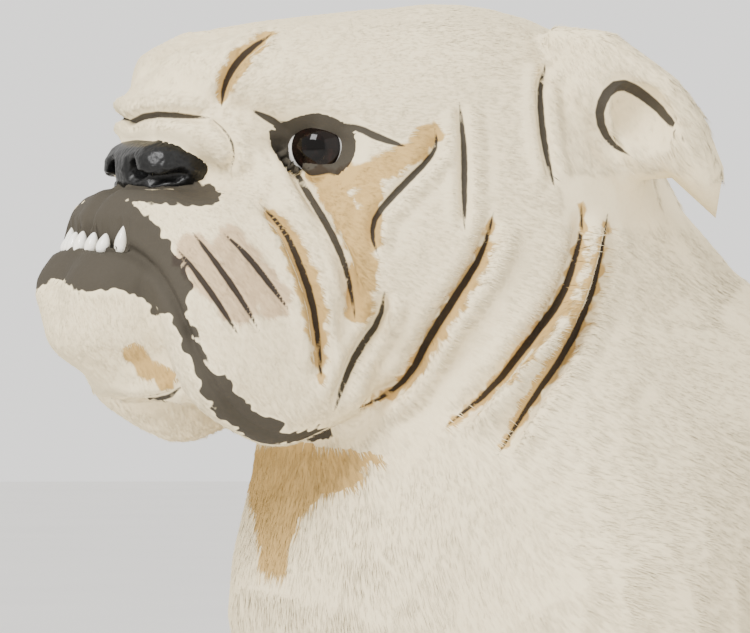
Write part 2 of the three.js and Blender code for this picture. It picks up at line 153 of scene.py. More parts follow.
class BulldogStageSettings(bpy.types.PropertyGroup):
    floor_size: length("Floor", "Radius of the floor", 14.0)
    floor_colour: colour("Floor colour", "Colour of the floor", (0.88, 0.87, 0.85))
    camera_distance: length("Camera distance", "From the camera to the head", 3.2)
    frame_width: length("View width", "Width of what the camera sees at the head", 0.3333)


# Small tools


def deselect():
    bpy.ops.object.select_all(action="DESELECT")


def active():
    return bpy.context.active_object


def activate(*objects):
    deselect()
    for made in objects:
        made.select_set(True)
    bpy.context.view_layer.objects.active = objects[0]


def finished(made, name, material, slot, *replaced):
    """Names a piece, gives it its material and hangs it on the frame."""
    made.name = name
    made.data.name = name
    made.data.materials.clear()
    made.data.materials.append(material)
    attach(made, "root")
    if replaced:
        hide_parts(*replaced)
    return made


def edit_all():
    """Goes into edit mode with the whole of the active mesh selected."""
    bpy.ops.object.mode_set(mode="EDIT")
    bpy.ops.mesh.select_all(action="SELECT")


def edit_done():
    bpy.ops.object.mode_set(mode="OBJECT")


def copy_of(names, swell):
    """One merged mesh object joined from copies of CAD nodes, each swollen a little along its normals."""
    copies = []
    for name in names:
        activate(frame["nodes"][name])
        bpy.ops.object.duplicate()
        made = active()
        bpy.ops.object.parent_clear(type="CLEAR_KEEP_TRANSFORM")
        bpy.ops.object.transform_apply(location=True, rotation=True, scale=True)
        edit_all()
        bpy.ops.mesh.remove_doubles(threshold=1e-5)
        bpy.ops.mesh.normals_make_consistent(inside=False)
        bpy.ops.transform.shrink_fatten(value=swell)
        edit_done()
        copies.append(made)
    activate(*copies)
    if len(copies) > 1:
        bpy.ops.object.join()
    return active()


def remesh(made, cell):
    activate(made)
    made.data.remesh_voxel_size = cell
    made.data.remesh_voxel_adaptivity = 0
    bpy.ops.object.voxel_remesh()


def read(items, key, width, kind=np.float32):
    """One row of numbers for each item of a mesh."""
    flat = np.empty(len(items) * width, dtype=kind)
    items.foreach_get(key, flat)
    return flat.reshape(-1, width)


def points_of(mesh):
    return read(mesh.vertices, "co", 3).astype(float)


def put_points(mesh, points):
    mesh.vertices.foreach_set("co", np.ascontiguousarray(points, dtype=np.float64).ravel())
    mesh.update()


def normals_of(mesh):
    return read(mesh.vertex_normals, "vector", 3).astype(float)


def edges_of(mesh):
    return read(mesh.edges, "vertices", 2, np.int64)


def step(low, high, value):
    """0 below low, 1 above high, and smooth between them."""
    t = np.clip((value - low) / (high - low), 0, 1)
    return t * t * (3 - 2 * t)


def part_of_body(points, along_y, up):
    """1 inside a part of the body, 0 outside it, and between where it fades."""
    return step(*along_y, points[:, 1]) * step(*up, points[:, 2])


def sizes(rows):
    """The length of each row, as a vector."""
    return np.linalg.norm(rows, axis=1)


def in_box(points, low, high, margin=0.0):
    return np.all((points > low - margin) & (points < high + margin), axis=1)


def smooth(points, edges, weight, rounds, pushes=(0.55, -0.57)):
    """Evens the surface out, by default without shrinking it. weight, 0 to 1, says how much at each point."""
    count = np.bincount(edges.ravel(), minlength=len(points)).astype(float)
    count = np.maximum(count, 1)[:, None]
    weight = np.asarray(weight)[:, None]
    for _ in range(rounds):
        for push in pushes:
            total = np.stack(
                [
                    np.bincount(edges[:, 0], points[edges[:, 1], k], len(points))
                    + np.bincount(edges[:, 1], points[edges[:, 0], k], len(points))
                    for k in range(3)
                ],
                1,
            )
            points = points + weight * push * (total / count - points)
    return points


def rounded(line):
    """The same line with its corners cut."""
    a, b = line[:-1], line[1:]
    cut = np.stack([0.75 * a + 0.25 * b, 0.25 * a + 0.75 * b], 1).reshape(-1, 2)
    return np.concatenate([line[:1], cut[1:-1], line[-1:]])


def along(flat, line):
    """For each (across, up): how far it is from a line, on which side of it, and how far along it, 0 to 1."""
    line = rounded(np.array(line, dtype=float))
    lengths = sizes(np.diff(line, axis=0))
    start = np.concatenate([[0], np.cumsum(lengths)])
    best = np.full(len(flat), 1e9)
    side = np.zeros(len(flat))
    place = np.zeros(len(flat))
    for a, b, at, span in zip(line[:-1], line[1:], start, lengths):
        d = b - a
        t = np.clip(((flat - a) @ d) / (d @ d), 0, 1)
        gap = flat - a - t[:, None] * d
        away = np.hypot(gap[:, 0], gap[:, 1])
        nearer = away < best
        best = np.where(nearer, away, best)
        side = np.where(nearer, np.sign(d[0] * gap[:, 1] - d[1] * gap[:, 0]), side)
        place = np.where(nearer, (at + t * span) / start[-1], place)
    return best, side, place


# Folds and markings of the head and neck, on the quarter plane

# line, depth and width of the crease, height and side of the roll beside it, how far fawn spreads, darkness. The
# fawn beside a fold is painted shade in the fold along with fawn staining; the dark line is painted shade along
# the crease's bottom along with the fold's darker skin.
# side is +1 where the roll lies to the left of the line as it runs, -1 to the right and 0 on both.
FOLDS = {
    "forehead furrow": (
        [(-172, 521), (-182, 514), (-189, 506), (-193, 498), (-194, 489)], 3.4, 2.4, 2.0, 0, 5.0, 0.9),
    "over the nose": (
        [(-246, 474), (-237, 482), (-226, 486), (-212, 485), (-199, 484)], 4.4, 2.6, 2.2, 1, 0, 0.85),
    "nose corner": ([(-199, 484), (-192, 478), (-188, 470), (-190, 460)], 2.0, 2.2, 1.0, 0, 0, 0.3),
    "front whisker line": ([(-213, 426), (-204, 415), (-194, 401), (-186, 388)], 1.3, 1.3, 0.5, 0, 0, 0.95),
    "middle whisker line": ([(-206, 433), (-193, 416), (-183, 401), (-177, 390)], 1.3, 1.3, 0.5, 0, 0, 0.95),
    "back whisker line": ([(-193, 433), (-183, 424), (-172, 410), (-164, 399)], 1.3, 1.3, 0.5, 0, 0, 0.95),
    "fold of the lip": (
        [(-177, 446), (-166, 434), (-160, 421), (-154, 404), (-151, 384), (-150, 368)],
        5.0, 2.8, 3.0, 0, 5.5, 0.9),
    "tear line": (
        [(-173, 478), (-164, 466), (-157, 452), (-147, 436), (-140, 421), (-137, 408), (-135, 395)],
        5.2, 3.0, 3.0, -1, 0, 0.9),
    "cheek line": (
        [(-100, 479), (-99, 472), (-102, 466), (-115, 453), (-126, 441), (-128, 432), (-125, 423)],
        3.2, 2.6, 2.0, 1, 0, 0.9),
    "back of the lip": (
        [(-122, 408), (-124, 395), (-134, 381), (-140, 368), (-144, 355)], 5.0, 3.0, 2.4, 0, 0, 0.9),
    "jaw line": ([(-89, 491), (-87, 470), (-87, 453), (-87, 434)], 2.6, 2.4, 1.4, 0, 0, 0.85),
    "front neck fold": (
        [(-74, 442), (-79, 424), (-89, 408), (-102, 388), (-111, 370), (-122, 361), (-133, 356)],
        7.0, 3.8, 4.6, 1, 5.5, 0.9),
    "middle neck fold": (
        [(-35, 446), (-35, 433), (-38, 421), (-44, 404), (-58, 386), (-75, 364), (-95, 348)],
        7.0, 3.8, 4.8, 1, 5.0, 0.9),
    "back neck fold": (
        [(-23, 442), (-26, 424), (-31, 404), (-42, 381), (-58, 359), (-73, 335)],
        6.2, 3.6, 4.4, -1, 5.5, 0.8),
    "ear crease": ([(-50, 510), (-53, 499), (-53, 488), (-51, 470), (-47, 453)], 3.0, 2.4, 2.0, 0, 0, 0.9),
    # The ear hook's dark line is painted shadow in the cup of the ear, under its folded rim.
    "ear hook": (
        [(-13, 468), (-22, 474), (-27, 484), (-25, 494), (-18, 500), (-8, 496), (3, 486), (12, 471)],
        2.6, 6.0, 0.0, 0, 0, 1.0),
    "mouth": (
        [(-262, 431), (-255, 429), (-246, 427), (-237, 427), (-226, 420), (-217, 408), (-211, 395),
         (-204, 379)], 3.0, 2.2, 0.6, 0, 0, 1.0),
    "lip hem": ([(-211, 395), (-204, 379), (-194, 361), (-182, 348), (-164, 341)], 1.6, 1.8, 0, 0, 0, 1.0),
    "inner corner of the lids": ([(-180, 487), (-172, 483), (-163, 477)], 1.0, 2.0, 0, 0, 0, 1.0),
    "outer corner of the lids": ([(-142, 481), (-133, 479), (-125, 475), (-113, 471)], 1.0, 2.4, 0, 0, 0, 1.0),
    "under the chin": (
        [(-262, 366), (-251, 360), (-235, 358), (-218, 360), (-211, 366)], 2.4, 2.2, 1.4, 0, 0, 0.9),
}
# channel, line and radius
PATCHES = (
    ("fawn", [(-150, 458), (-139, 441), (-131, 421), (-134, 399)], 6.0),
    ("fawn", [(-143, 455), (-125, 461), (-109, 469), (-102, 477)], 5.6),
    ("fawn", [(-129, 455), (-129, 430)], 5.5),
    # Painted shade in the fold under the chin.
    ("fawn", [(-233, 380), (-226, 374), (-219, 369)], 4.5),
    ("blush", [(-206, 424), (-186, 402)], 9.0),
    ("blush", [(-190, 428), (-171, 404)], 8.0),
    ("dark", [(-254, 441), (-240, 441), (-226, 428), (-216, 410)], 9.0),
    ("dark", [(-266, 421), (-252, 413), (-236, 416), (-219, 404)], 6.4),
    ("dark", [(-262, 430), (-246, 428), (-232, 426)], 6.0),
    ("dark", [(-260, 422), (-244, 420)], 6.0),
    ("dark", [(-252, 451), (-240, 452), (-222, 451), (-199, 450)], 5.0),
    ("dark", [(-213, 398), (-206, 382), (-197, 366)], 3.6),
    # Painted shadow under the flews.
    ("dark", [(-197, 366), (-186, 352), (-172, 345)], 6.2),
    ("dark", [(-168, 342), (-148, 345)], 2.8),
)

# Half width of the painted shade under the jaw, a fawn patch on the front of the throat, at each height, both in
# millimetres
THROAT_SHADE_WIDTHS = ([281, 287, 300, 315, 321, 336, 342], [0, 14, 20, 34, 56, 62, 0])


# How far a roll lies from its crease and how wide it is, in widths of the crease
ROLL_AWAY, ROLL_WIDTH = 2.1, 1.3
FAR_ROLL = 0.25  # the roll on the other side of the crease
MARK_FADE = 10  # millimetres from 1 to 0 across a marking's edge
EAR_ROOT = 0.012  # height of neck in the foot of an ear's box
EAR_CUP = 0.07  # the ear's cup starts this far from the body's middle


def ripple(points, size):
    """A smooth, patternless number between about -1 and 1 at each point, for ragged edges."""
    x, y, z = (points / size).T
    swirl = np.sin(x * 1.7 + 1.3 * np.sin(y * 1.1 + 0.4)) * np.sin(y * 1.9 + 1.1 * np.sin(z * 1.3))
    return (swirl + np.sin(z * 2.3 + 1.7 * np.sin(x * 0.9 + 2.0))) / 2


def quarter_facing(points, normals):
    """1 where the surface faces the side that the quarter plane is seen from, 0 where it faces away."""
    toward = normals[:, 0] * np.sign(points[:, 0]) * math.sin(QUARTER) - normals[:, 1] * math.cos(QUARTER)
    muzzle = step(0.022, 0.012, np.abs(points[:, 0])) * step(EYE[1] - 0.02, EYE[1] - 0.03, points[:, 1])
    return np.maximum(step(-0.05, 0.2, toward), muzzle)


def where(name, points):
    """1 where a fold may be: in the ear's cup for its hook, anywhere for its crease, off the ears for the rest."""
    on_ear = np.zeros(len(points), dtype=bool)
    for low, high in EAR_BOXES:
        on_ear |= in_box(points, low + [0, 0, EAR_ROOT], high + 0.001)
    on_cup = on_ear & (np.abs(points[:, 0]) > EAR_CUP)
    return {"ear hook": on_cup, "ear crease": np.ones(len(points))}.get(name, ~on_ear)


def fold_depths(points, normals, scale):
    """How far each point moves out along its normal, in metres, for the folds of the head and neck."""
    flat = quarter_plane(points)
    facing = quarter_facing(points, normals)
    move = np.zeros(len(points))
    for name, (line, depth, width, roll, roll_side, _, _) in FOLDS.items():
        away, side, place = along(flat, line)
        ends = step(0, 0.12, place) * step(1, 0.84, place) * where(name, points)
        crease = -depth * np.exp(-((away / width) ** 2))
        beside = roll * np.exp(-(((away - ROLL_AWAY * width) / (ROLL_WIDTH * width)) ** 2))
        if roll_side:
            beside = np.where(side == roll_side, beside, FAR_ROLL * beside)
        move += ends * (crease + beside)
    return move * facing * scale / 1000


def markings(points, normals):
    """Fawn, dark and blush at each point: 0.5 on the edge of a marking, more inside it and less outside."""

    def within(reach, away):
        return np.clip(0.5 + (reach - away) / MARK_FADE, 0, 1)

    def add(channel, strength):
        mark[channel] = np.maximum(mark[channel], strength)

    flat = quarter_plane(points)
    facing = quarter_facing(points, normals)
    ragged = 1.7 * ripple(points, 0.0035) + 1.0 * ripple(points[:, [2, 0, 1]], 0.0017)
    mark = {channel: np.zeros(len(points)) for channel in ("fawn", "dark", "blush")}
    for channel, line, radius in PATCHES:
        away, _, _ = along(flat, line)
        add(channel, facing * within(radius, away + ragged))
    # Painted shade in the folds, along with fawn staining: fawn beside each crease and a dark line along its
    # bottom.
    for name, (line, _, width, _, roll_side, fawn, dark) in FOLDS.items():
        away, side, place = along(flat, line)
        allowed = facing * where(name, points)
        taper = np.sin(np.pi * np.clip(place, 0.01, 0.99)) ** 0.6
        if fawn:
            reach = np.where(side == roll_side, fawn, 0.55 * fawn) if roll_side else fawn
            add("fawn", allowed * within(reach * taper, away + ragged))
        line_width = (1.2 + 0.2 * width) * dark * taper
        add("dark", allowed * within(line_width, away))
    # Painted shade under the jaw: a fawn patch on the front of the throat.
    throat_shade = np.interp(points[:, 2] * 1000, *THROAT_SHADE_WIDTHS, left=-9, right=-9)
    front = step(-0.11, -0.13, points[:, 1])
    add("fawn", front * within(throat_shade, np.abs(points[:, 0]) * 1000 + 3 * ragged))
    for _, side in SIDES:
        _, gap, upper = eye_opening(points, side)
        centre, _, outward = eye_axes(side)
        v = points - centre
        close = step(1.6, 1.4, sizes(v) / EYE_RADIUS)
        # Dark lid rims: the lids' dark skin, the upper one widened by painted shade under the lid.
        rim = np.where(upper, *LID_RIM) - RIM_TAPER * v @ outward / EYE_RADIUS
        add("dark", close * within(rim, gap))
    for x, y in tooth_places():
        beside = np.hypot(points[:, 0] - x, points[:, 1] - y) < 0.0075
        gum = beside & (np.abs(points[:, 2] - GUM - 0.004) < 0.011)
        add("dark", gum * (points[:, 1] < y + 0.0045))
    # The pads under the feet are bare and dark.
    add("dark", step(0.007, 0.003, points[:, 2]) * step(-0.3, -0.75, normals[:, 2]))
    return np.stack(list(mark.values()), 1)


def put_marks(mesh, values, shade):
    """Keeps the markings, with a slight variation from hair to hair, as a colour attribute of the mesh."""
    made = mesh.attributes.new("marks", "FLOAT_COLOR", "POINT")
    made.data.foreach_set("color", np.concatenate([values, shade[:, None]], 1).astype(np.float32).ravel())


# The eye's own frame
INNER, OUTER = math.radians(52), math.radians(84)  # from the middle of the lids to their corners
UPPER, LOWER = math.radians(31), math.radians(-27)
LID_TILT, LID_ARCH = 0.10, 0.75  # slope of the opening, and how pointed its arches are
# Upper and lower lid, in millimetres
# The upper lid's dark rim is the lid's dark skin widened by painted shade under the lid.
LID_RIM, LID_THICK = (4.6, 3.4), (3.8, 2.8)
RIM_TAPER = 1.8  # narrows the dark rim outward
BALL_GAP, LID_ROLL = 0.5, 1.5  # between ball and lid, and the rounding of the lid's edge
TUCK = 860  # depth of the skin behind the ball, in thousandths of its radius


def eye_axes(side):
    forward = np.array([side * math.sin(LOOK), -math.cos(LOOK), 0])
    outward = np.array([side * math.cos(LOOK), math.sin(LOOK), 0])
    centre = EYE * [side, 1, 1]
    return centre, forward, outward


def eye_opening(points, side):
    """Which points are near an eyeball, how far each is outside the lids' opening in mm, and if it is above."""
    centre, forward, outward = eye_axes(side)
    v = points - centre
    r = sizes(v)
    near = (r < 1.8 * EYE_RADIUS) & (v @ forward > -0.1 * EYE_RADIUS)
    around = np.arctan2(v @ outward, v @ forward)
    up = np.arcsin(np.clip(v[:, 2] / r, -1, 1)) + LID_TILT * around
    reach = np.where(around < 0, INNER, OUTER)
    arch = (1 - np.clip(np.abs(around) / reach, 0, 1) ** 2) ** LID_ARCH
    above = up - UPPER * arch
    below = LOWER * arch - up
    past = np.maximum(np.abs(around) - reach, 0)
    outside = np.hypot(past, np.maximum(np.maximum(above, below), 0))
    gap = np.where(outside > 0, outside, np.maximum(above, below)) * EYE_RADIUS * 1000
    return near, np.where(near, gap, 99), above > below


def shape_lids(points, side):
    """Rolls both lids over the eyeball round an almond opening, and tucks the skin in it behind the ball."""
    near, gap, upper = eye_opening(points, side)
    centre = eye_axes(side)[0]
    v, gap, upper = points[near] - centre, gap[near], upper[near]
    r = sizes(v)
    thick = np.where(upper, *LID_THICK)
    lid = EYE_RADIUS * 1000 + BALL_GAP + thick * (1 - np.exp(-np.maximum(gap, 0) / LID_ROLL))
    tucked = EYE_RADIUS * TUCK
    target = tucked + (lid - tucked) * step(-1.6, -0.1, gap)
    blend = np.maximum(step(3.4, 9.5, gap), step(1.35, 1.75, r / EYE_RADIUS))
    made = points.copy()
    made[near] = centre + v / r[:, None] * ((target * (1 - blend) + r * 1000 * blend) / 1000)[:, None]
    return made


TEETH = [(0.004, -0.0975), (0.0122, -0.0957), (0.0202, -0.0935), (0.0288, -0.0885)]  # x, and y from the eyes
GUM = EYE[2] - 0.045
SOCKET = 0.0056, 0.0042  # half width and half depth of the hollow in the gum at a tooth
SUNK = 0.15  # how much of the lip's height stays there
TOOTH = 0.006  # radius of the ball that a tooth is drawn out of
FIRST_CANINE = 6
CANINE_HEIGHT, TOOTH_HEIGHT, TOOTH_FALL = 0.0135, 0.0112, 0.0003
TOOTH_WIDTH, TOOTH_ROOT = 0.58, 0.003


def tooth_places():
    return [(side * x, EYE[1] - 0.001 + y) for x, y in TEETH for side in (1, -1)]


def tuck_gums(points):
    """Lowers the skin where the teeth stand, so that only the enamel shows above the gum."""
    made = points.copy()
    for x, y in tooth_places():
        ring = np.hypot((points[:, 0] - x) / SOCKET[0], (points[:, 1] - y) / SOCKET[1])
        high = points[:, 2] - GUM
        sink = (ring < 1) & (high > 0) & (high < CANINE_HEIGHT)
        made[sink, 2] = GUM + SUNK * high[sink]
    return made


class BULLDOG_OT_skin(bpy.types.Operator):
    """Make one skin over all the flesh, with its folds, lids and markings"""

    bl_idname = "bulldog.skin"
    bl_label = "Skin"

    def execute(self, context):
        look = context.scene.bulldog_skin
        skin = copy_of([*FLESH, "nose", "eye_left", "eye_right"], swell=0.0003)
        remesh(skin, look.cell)
        skin = self.keep_largest(skin)
        self.even_out(skin, look)
        self.thin_body(skin, look.triangles)
        self.sculpt(skin, look)
        activate(skin)
        bpy.ops.object.shade_smooth()
        unwrap(skin)
        finished(skin, "skin", coat_material("coat_skin", look, False), "coat", *FLESH)
        return {"FINISHED"}

    def keep_largest(self, skin):
        """Drops the scraps that the remesh leaves in hollows."""
        activate(skin)
        edit_all()
        bpy.ops.mesh.separate(type="LOOSE")
        edit_done()
        parts = sorted(bpy.context.selected_objects, key=lambda part: -len(part.data.vertices))
        for scrap in parts[1:]:
            bpy.data.objects.remove(scrap)
        return parts[0]

    def even_out(self, skin, look):
        """Takes the frame's facets out of the skin: most on the body, least on the face, ears and toes."""
        mesh = skin.data
        points, edges = points_of(mesh), edges_of(mesh)
        y, z = points[:, 1], points[:, 2]
        toes = step(0.075, 0.05, z)
        fine = np.maximum(part_of_body(points, *FACE), toes)
        ear = np.zeros(len(points))
        for low, high in EAR_BOXES:
            ear = np.maximum(ear, in_box(points, low, high, 0.004))
        fine = np.maximum(fine, 0.75 * ear)
        fine = np.maximum(fine, 0.7 * step(TAIL_START - 0.01, TAIL_START + 0.01, y))
        body = (1 - fine) * step(0.42, 0.34, z + 0.4 * step(-0.02, -0.08, y))
        points = smooth(points, edges, np.ones(len(points)), 6)
        points = smooth(points, edges, 1 - fine, 20)
        points = smooth(points, edges, body, 55, (0.5,))
        soles = z < 0.0012
        put_points(mesh, points)
        points = points - normals_of(mesh) * look.inset
        points[soles, 2] = 0
        points[:, 2] = np.maximum(points[:, 2], 0)
        put_points(mesh, points)

    def thin_body(self, skin, limit):
        """Thins the trunk and legs, where the skin is plain, and leaves the head and feet as they are."""
        mesh = skin.data
        points = points_of(mesh)
        legs = step(0.34, 0.28, points[:, 2]) * step(*TRUNK[1], points[:, 2])
        plain = np.maximum(part_of_body(points, *TRUNK), legs)
        group = skin.vertex_groups.new(name="plain")
        for level in range(1, 11):
            chosen = np.flatnonzero(np.round(plain * 10) == level)
            group.add(chosen.tolist(), level / 10, "REPLACE")
        now = sum(len(polygon.vertices) - 2 for polygon in mesh.polygons)
        if now <= limit:
            return
        activate(skin)
        thin = skin.modifiers.new("thin", "DECIMATE")
        thin.vertex_group = "plain"
        thin.ratio = limit / now
        bpy.ops.object.modifier_apply(modifier="thin")

    def refine(self, skin):
        """Makes the mesh finer round the eyes and along the creases."""
        mesh = skin.data
        middle, facing = (read(mesh.polygons, key, 3).astype(float) for key in ("center", "normal"))
        dark = markings(middle, facing)[:, 1]
        near = (dark > 0.22) & (dark < 0.98) & (middle[:, 2] > 0.1)
        for _, side in SIDES:
            near |= sizes(middle - eye_axes(side)[0]) < 1.9 * EYE_RADIUS
        activate(skin)
        bpy.ops.object.mode_set(mode="EDIT")
        bpy.ops.mesh.select_mode(type="FACE")
        bpy.ops.mesh.select_all(action="DESELECT")
        bpy.ops.object.mode_set(mode="OBJECT")
        mesh.polygons.foreach_set("select", near)
        bpy.ops.object.mode_set(mode="EDIT")
        bpy.ops.mesh.subdivide(number_cuts=1, ngon=False)
        bpy.ops.object.mode_set(mode="OBJECT")

    def sculpt(self, skin, look):
        self.refine(skin)
        mesh = skin.data
        points = points_of(mesh)
        for _, side in SIDES:
            points = shape_lids(points, side)
        put_points(mesh, tuck_gums(points))
        points = points_of(mesh)
        normals = normals_of(mesh)
        points = points + normals * fold_depths(points, normals, look.folds)[:, None]
        put_points(mesh, points)
        points = smooth(points, edges_of(mesh), np.full(len(points), 0.5), 1)
        put_points(mesh, points)
        normals = normals_of(mesh)
        shade = 0.5 + 0.5 * ripple(points, 0.02)
        put_marks(mesh, markings(points, normals), shade)


def unwrap(made):
    """Lays the piece's own shape out flat, for its baked colours."""
    made.data.uv_layers.new(name="OFBake")
    activate(made)
    edit_all()
    bpy.ops.uv.smart_project(angle_limit=math.radians(66), island_margin=0.001)
    edit_done()


# Materials


def new_material(name):
    made = bpy.data.materials.new(name)
    made.use_nodes = True
    return made, made.node_tree.nodes["Principled BSDF"], made.node_tree


def put(made, **values):
    """Sets or links the sockets of a shader node, or sets what else it has under that name."""
    for key, value in values.items():
        socket = made.inputs.get(key.replace("_", " "))
        if socket is None:
            setattr(made, key, value)
        elif isinstance(value, bpy.types.NodeSocket):
            made.id_data.links.new(value, socket)
        else:
            socket.default_value = value
    return made


def node(tree, kind, **values):
    return put(tree.nodes.new(kind), **values)


def noise(tree, scale, detail=3.0, stretch=None):
    """Noise on the object's own coordinates, stretched along an axis where stretch says so."""
    place = node(tree, "ShaderNodeTexCoord").outputs["Object"]
    if stretch:
        place = node(tree, "ShaderNodeMapping", Scale=stretch, Vector=place).outputs["Vector"]
    return node(tree, "ShaderNodeTexNoise", Scale=scale, Detail=detail, Vector=place).outputs["Fac"]


def ramp(tree, factor, *stops):
    """A colour ramp over factor. stops are (position, colour or grey)."""
    made = node(tree, "ShaderNodeValToRGB", Fac=factor)
    elements = made.color_ramp.elements
    while len(elements) < len(stops):
        elements.new(0.5)
    for element, (position, value) in zip(elements, stops):
        element.position = position
        element.color = (value,) * 3 + (1,) if isinstance(value, float) else (*value, 1)
    return made.outputs["Color"]


def mix(tree, factor, a, b, blend="MIX"):
    """Mixes two colours, each a socket or a plain colour, by a socket or a number."""
    made = node(tree, "ShaderNodeMix", data_type="RGBA", blend_type=blend)
    for socket, value in ((made.inputs[0], factor), (made.inputs[6], a), (made.inputs[7], b)):
        if isinstance(value, bpy.types.NodeSocket):
            tree.links.new(value, socket)
        else:
            socket.default_value = value if isinstance(value, float) else (*value, 1)
    return made.outputs[2]


def bump(tree, shader, height, strength, distance):
    made = node(tree, "ShaderNodeBump", Strength=strength, Distance=distance, Height=height)
    put(shader, Normal=made.outputs["Normal"])


def edge(tree, mark, edges, ragged, soft):
    """0 outside a marking and 1 inside it, with an edge broken up by noise."""
    sum_of = node(tree, "ShaderNodeMath", operation="MULTIPLY_ADD")
    tree.links.new(edges, sum_of.inputs[0])
    sum_of.inputs[1].default_value = 2 * ragged
    tree.links.new(mark, sum_of.inputs[2])
    return ramp(tree, sum_of.outputs[0], (0.5 + ragged - soft, 0.0), (0.5 + ragged + soft, 1.0))


def coat_material(name, look, hair):
    """Cream coat with fawn and blush patches, dark bare skin, and painted shade in the folds, under the flews and
    on the throat, all read from the mesh's marks.
    """
    made, shader, tree = new_material(name)
    marks = node(tree, "ShaderNodeAttribute", attribute_name="marks")
    parts = node(tree, "ShaderNodeSeparateColor", Color=marks.outputs["Color"])
    edges = noise(tree, 240.0, 3.0)
    fawn = edge(tree, parts.outputs[0], edges, 0.10, 0.06)
    dark = edge(tree, parts.outputs[1], edges, 0.03, 0.03)
    blush = edge(tree, parts.outputs[2], edges, 0.14, 0.10)
    cloud = noise(tree, 14.0, 4.0)
    fleck = noise(tree, 520.0, 2.0)
    ground = mix(tree, ramp(tree, cloud, (0.35, 0.0), (0.7, 0.3)), look.cream, [c * 0.95 for c in look.cream])
    ground = mix(tree, ramp(tree, fleck, (0.45, 0.0), (0.8, 0.10)), ground, look.fawn)
    colour_now = mix(tree, fawn, ground, look.fawn)
    colour_now = mix(tree, blush, colour_now, look.blush)
    # Dark skin of lips, lids, gums and pads, and painted shade in the creases, under the flews and in the ear
    # cups.
    colour_now = mix(tree, ramp(tree, dark, (0.0, 0.0), (1.0, 0.95)), colour_now, look.mask)
    shade = ramp(tree, marks.outputs["Alpha"], (0.0, 0.95), (1.0, 1.0))
    colour_now = mix(tree, 1.0, colour_now, shade, "MULTIPLY")
    rough = ramp(tree, dark, (0.0, 0.86), (1.0, 0.72))
    put(shader, Base_Color=colour_now, Roughness=rough, Specular_IOR_Level=0.08)
    if not hair:
        fur = noise(tree, 800.0, 3.0, (1.0, 0.35, 0.7))
        bump(tree, shader, fur, 0.3, 0.0005)
    return made


def nose_material(look):
    made, shader, tree = new_material("nose_leather")
    place = node(tree, "ShaderNodeTexCoord").outputs["Object"]
    cells = node(tree, "ShaderNodeTexVoronoi", Scale=620.0, feature="SMOOTH_F1", Vector=place)
    tone = mix(tree, ramp(tree, cells.outputs["Distance"], (0.0, 0.0), (0.8, 1.0)), look.nose_colour,
               [c * 2.2 for c in look.nose_colour])
    rough = ramp(tree, noise(tree, 90.0), (0.3, 0.30), (0.8, 0.46))
    put(shader, Base_Color=tone, Roughness=rough)
    put(shader, Specular_IOR_Level=0.18, Coat_Weight=0.05, Coat_Roughness=0.2)
    bump(tree, shader, cells.outputs["Distance"], 0.5, 0.0005)
    return made


def eye_material(look):
    """Pupil, iris and white as rings round the way the eye looks."""
    made, shader, tree = new_material("eye")
    ring = node(tree, "ShaderNodeAttribute", attribute_name="off_axis").outputs["Fac"]
    rim = math.asin(look.iris / EYE_RADIUS) / math.pi
    dark = [c * 0.25 for c in look.iris_colour]
    pinkish = [c * f for c, f in zip(look.white, (0.95, 0.78, 0.72))]
    inner, outer = list(look.iris_colour), [c * 1.5 for c in look.iris_colour]
    tone = ramp(tree, ring, (rim * 0.46, dark), (rim * 0.54, inner), (rim * 0.88, outer), (rim, dark),
                (rim * 1.07, list(look.white)), (0.5, pinkish))
    veins = ramp(tree, noise(tree, 260.0, 5.0), (0.5, 0.0), (0.8, 0.04))
    tone = mix(tree, veins, tone, (0.35, 0.12, 0.09))
    put(shader, Base_Color=tone, Roughness=ramp(tree, ring, (rim, 0.06), (0.5, 0.16)))
    put(shader, Specular_IOR_Level=0.12, Coat_Weight=0.08, Coat_Roughness=0.02)
    return made


def plain_material(name, low, high, scale, roughness, coat=0.0, relief=0.0):
    """A finish that drifts between two tones, for teeth, claws and the floor."""
    made, shader, tree = new_material(name)
    tone = mix(tree, ramp(tree, noise(tree, scale, 4.0), (0.35, 0.0), (0.7, 1.0)), low, high)
    rough = ramp(tree, noise(tree, scale * 1.7), (0.3, roughness), (0.7, min(1.0, roughness * 1.25)))
    put(shader, Base_Color=tone, Roughness=rough, Coat_Weight=coat)
    if relief:
        bump(tree, shader, noise(tree, scale * 3), 0.4, relief)
    return made


# Face pieces


NOSE_SWELL = 0.0006  # how far the nose pad stands out over its solid


def tuck_under(skin_points, cover, depth, reach):
    """Draws skin in under a piece that covers it, so that neither shows through the other."""
    tree = BVHTree.FromObject(cover, bpy.context.evaluated_depsgraph_get())
    low, high = np.min(cover.bound_box, axis=0), np.max(cover.bound_box, axis=0)
    made = skin_points.copy()
    for i in np.flatnonzero(in_box(skin_points, low, high, reach)):
        near, normal, _, _ = tree.find_nearest(Vector(skin_points[i]))
        out = (Vector(skin_points[i]) - near).dot(normal)
        if out < NOSE_SWELL:
            made[i] = near - normal * depth
    return made


class BULLDOG_OT_nose(bpy.types.Operator):
    """Make the leathery nose pad"""

    bl_idname = "bulldog.nose"
    bl_label = "Nose"

    def execute(self, context):
        nose = copy_of(["nose"], swell=NOSE_SWELL)
        remesh(nose, 0.0009)
        points = smooth(points_of(nose.data), edges_of(nose.data), np.ones(len(nose.data.vertices)), 5)
        put_points(nose.data, points)
        activate(nose)
        bpy.ops.object.shade_smooth()
        finished(nose, "nose_pad", nose_material(context.scene.bulldog_face), "nose_leather", "nose")
        skin = bpy.data.objects["skin"]
        put_points(skin.data, tuck_under(points_of(skin.data), nose, 0.0016, 0.004))
        return {"FINISHED"}


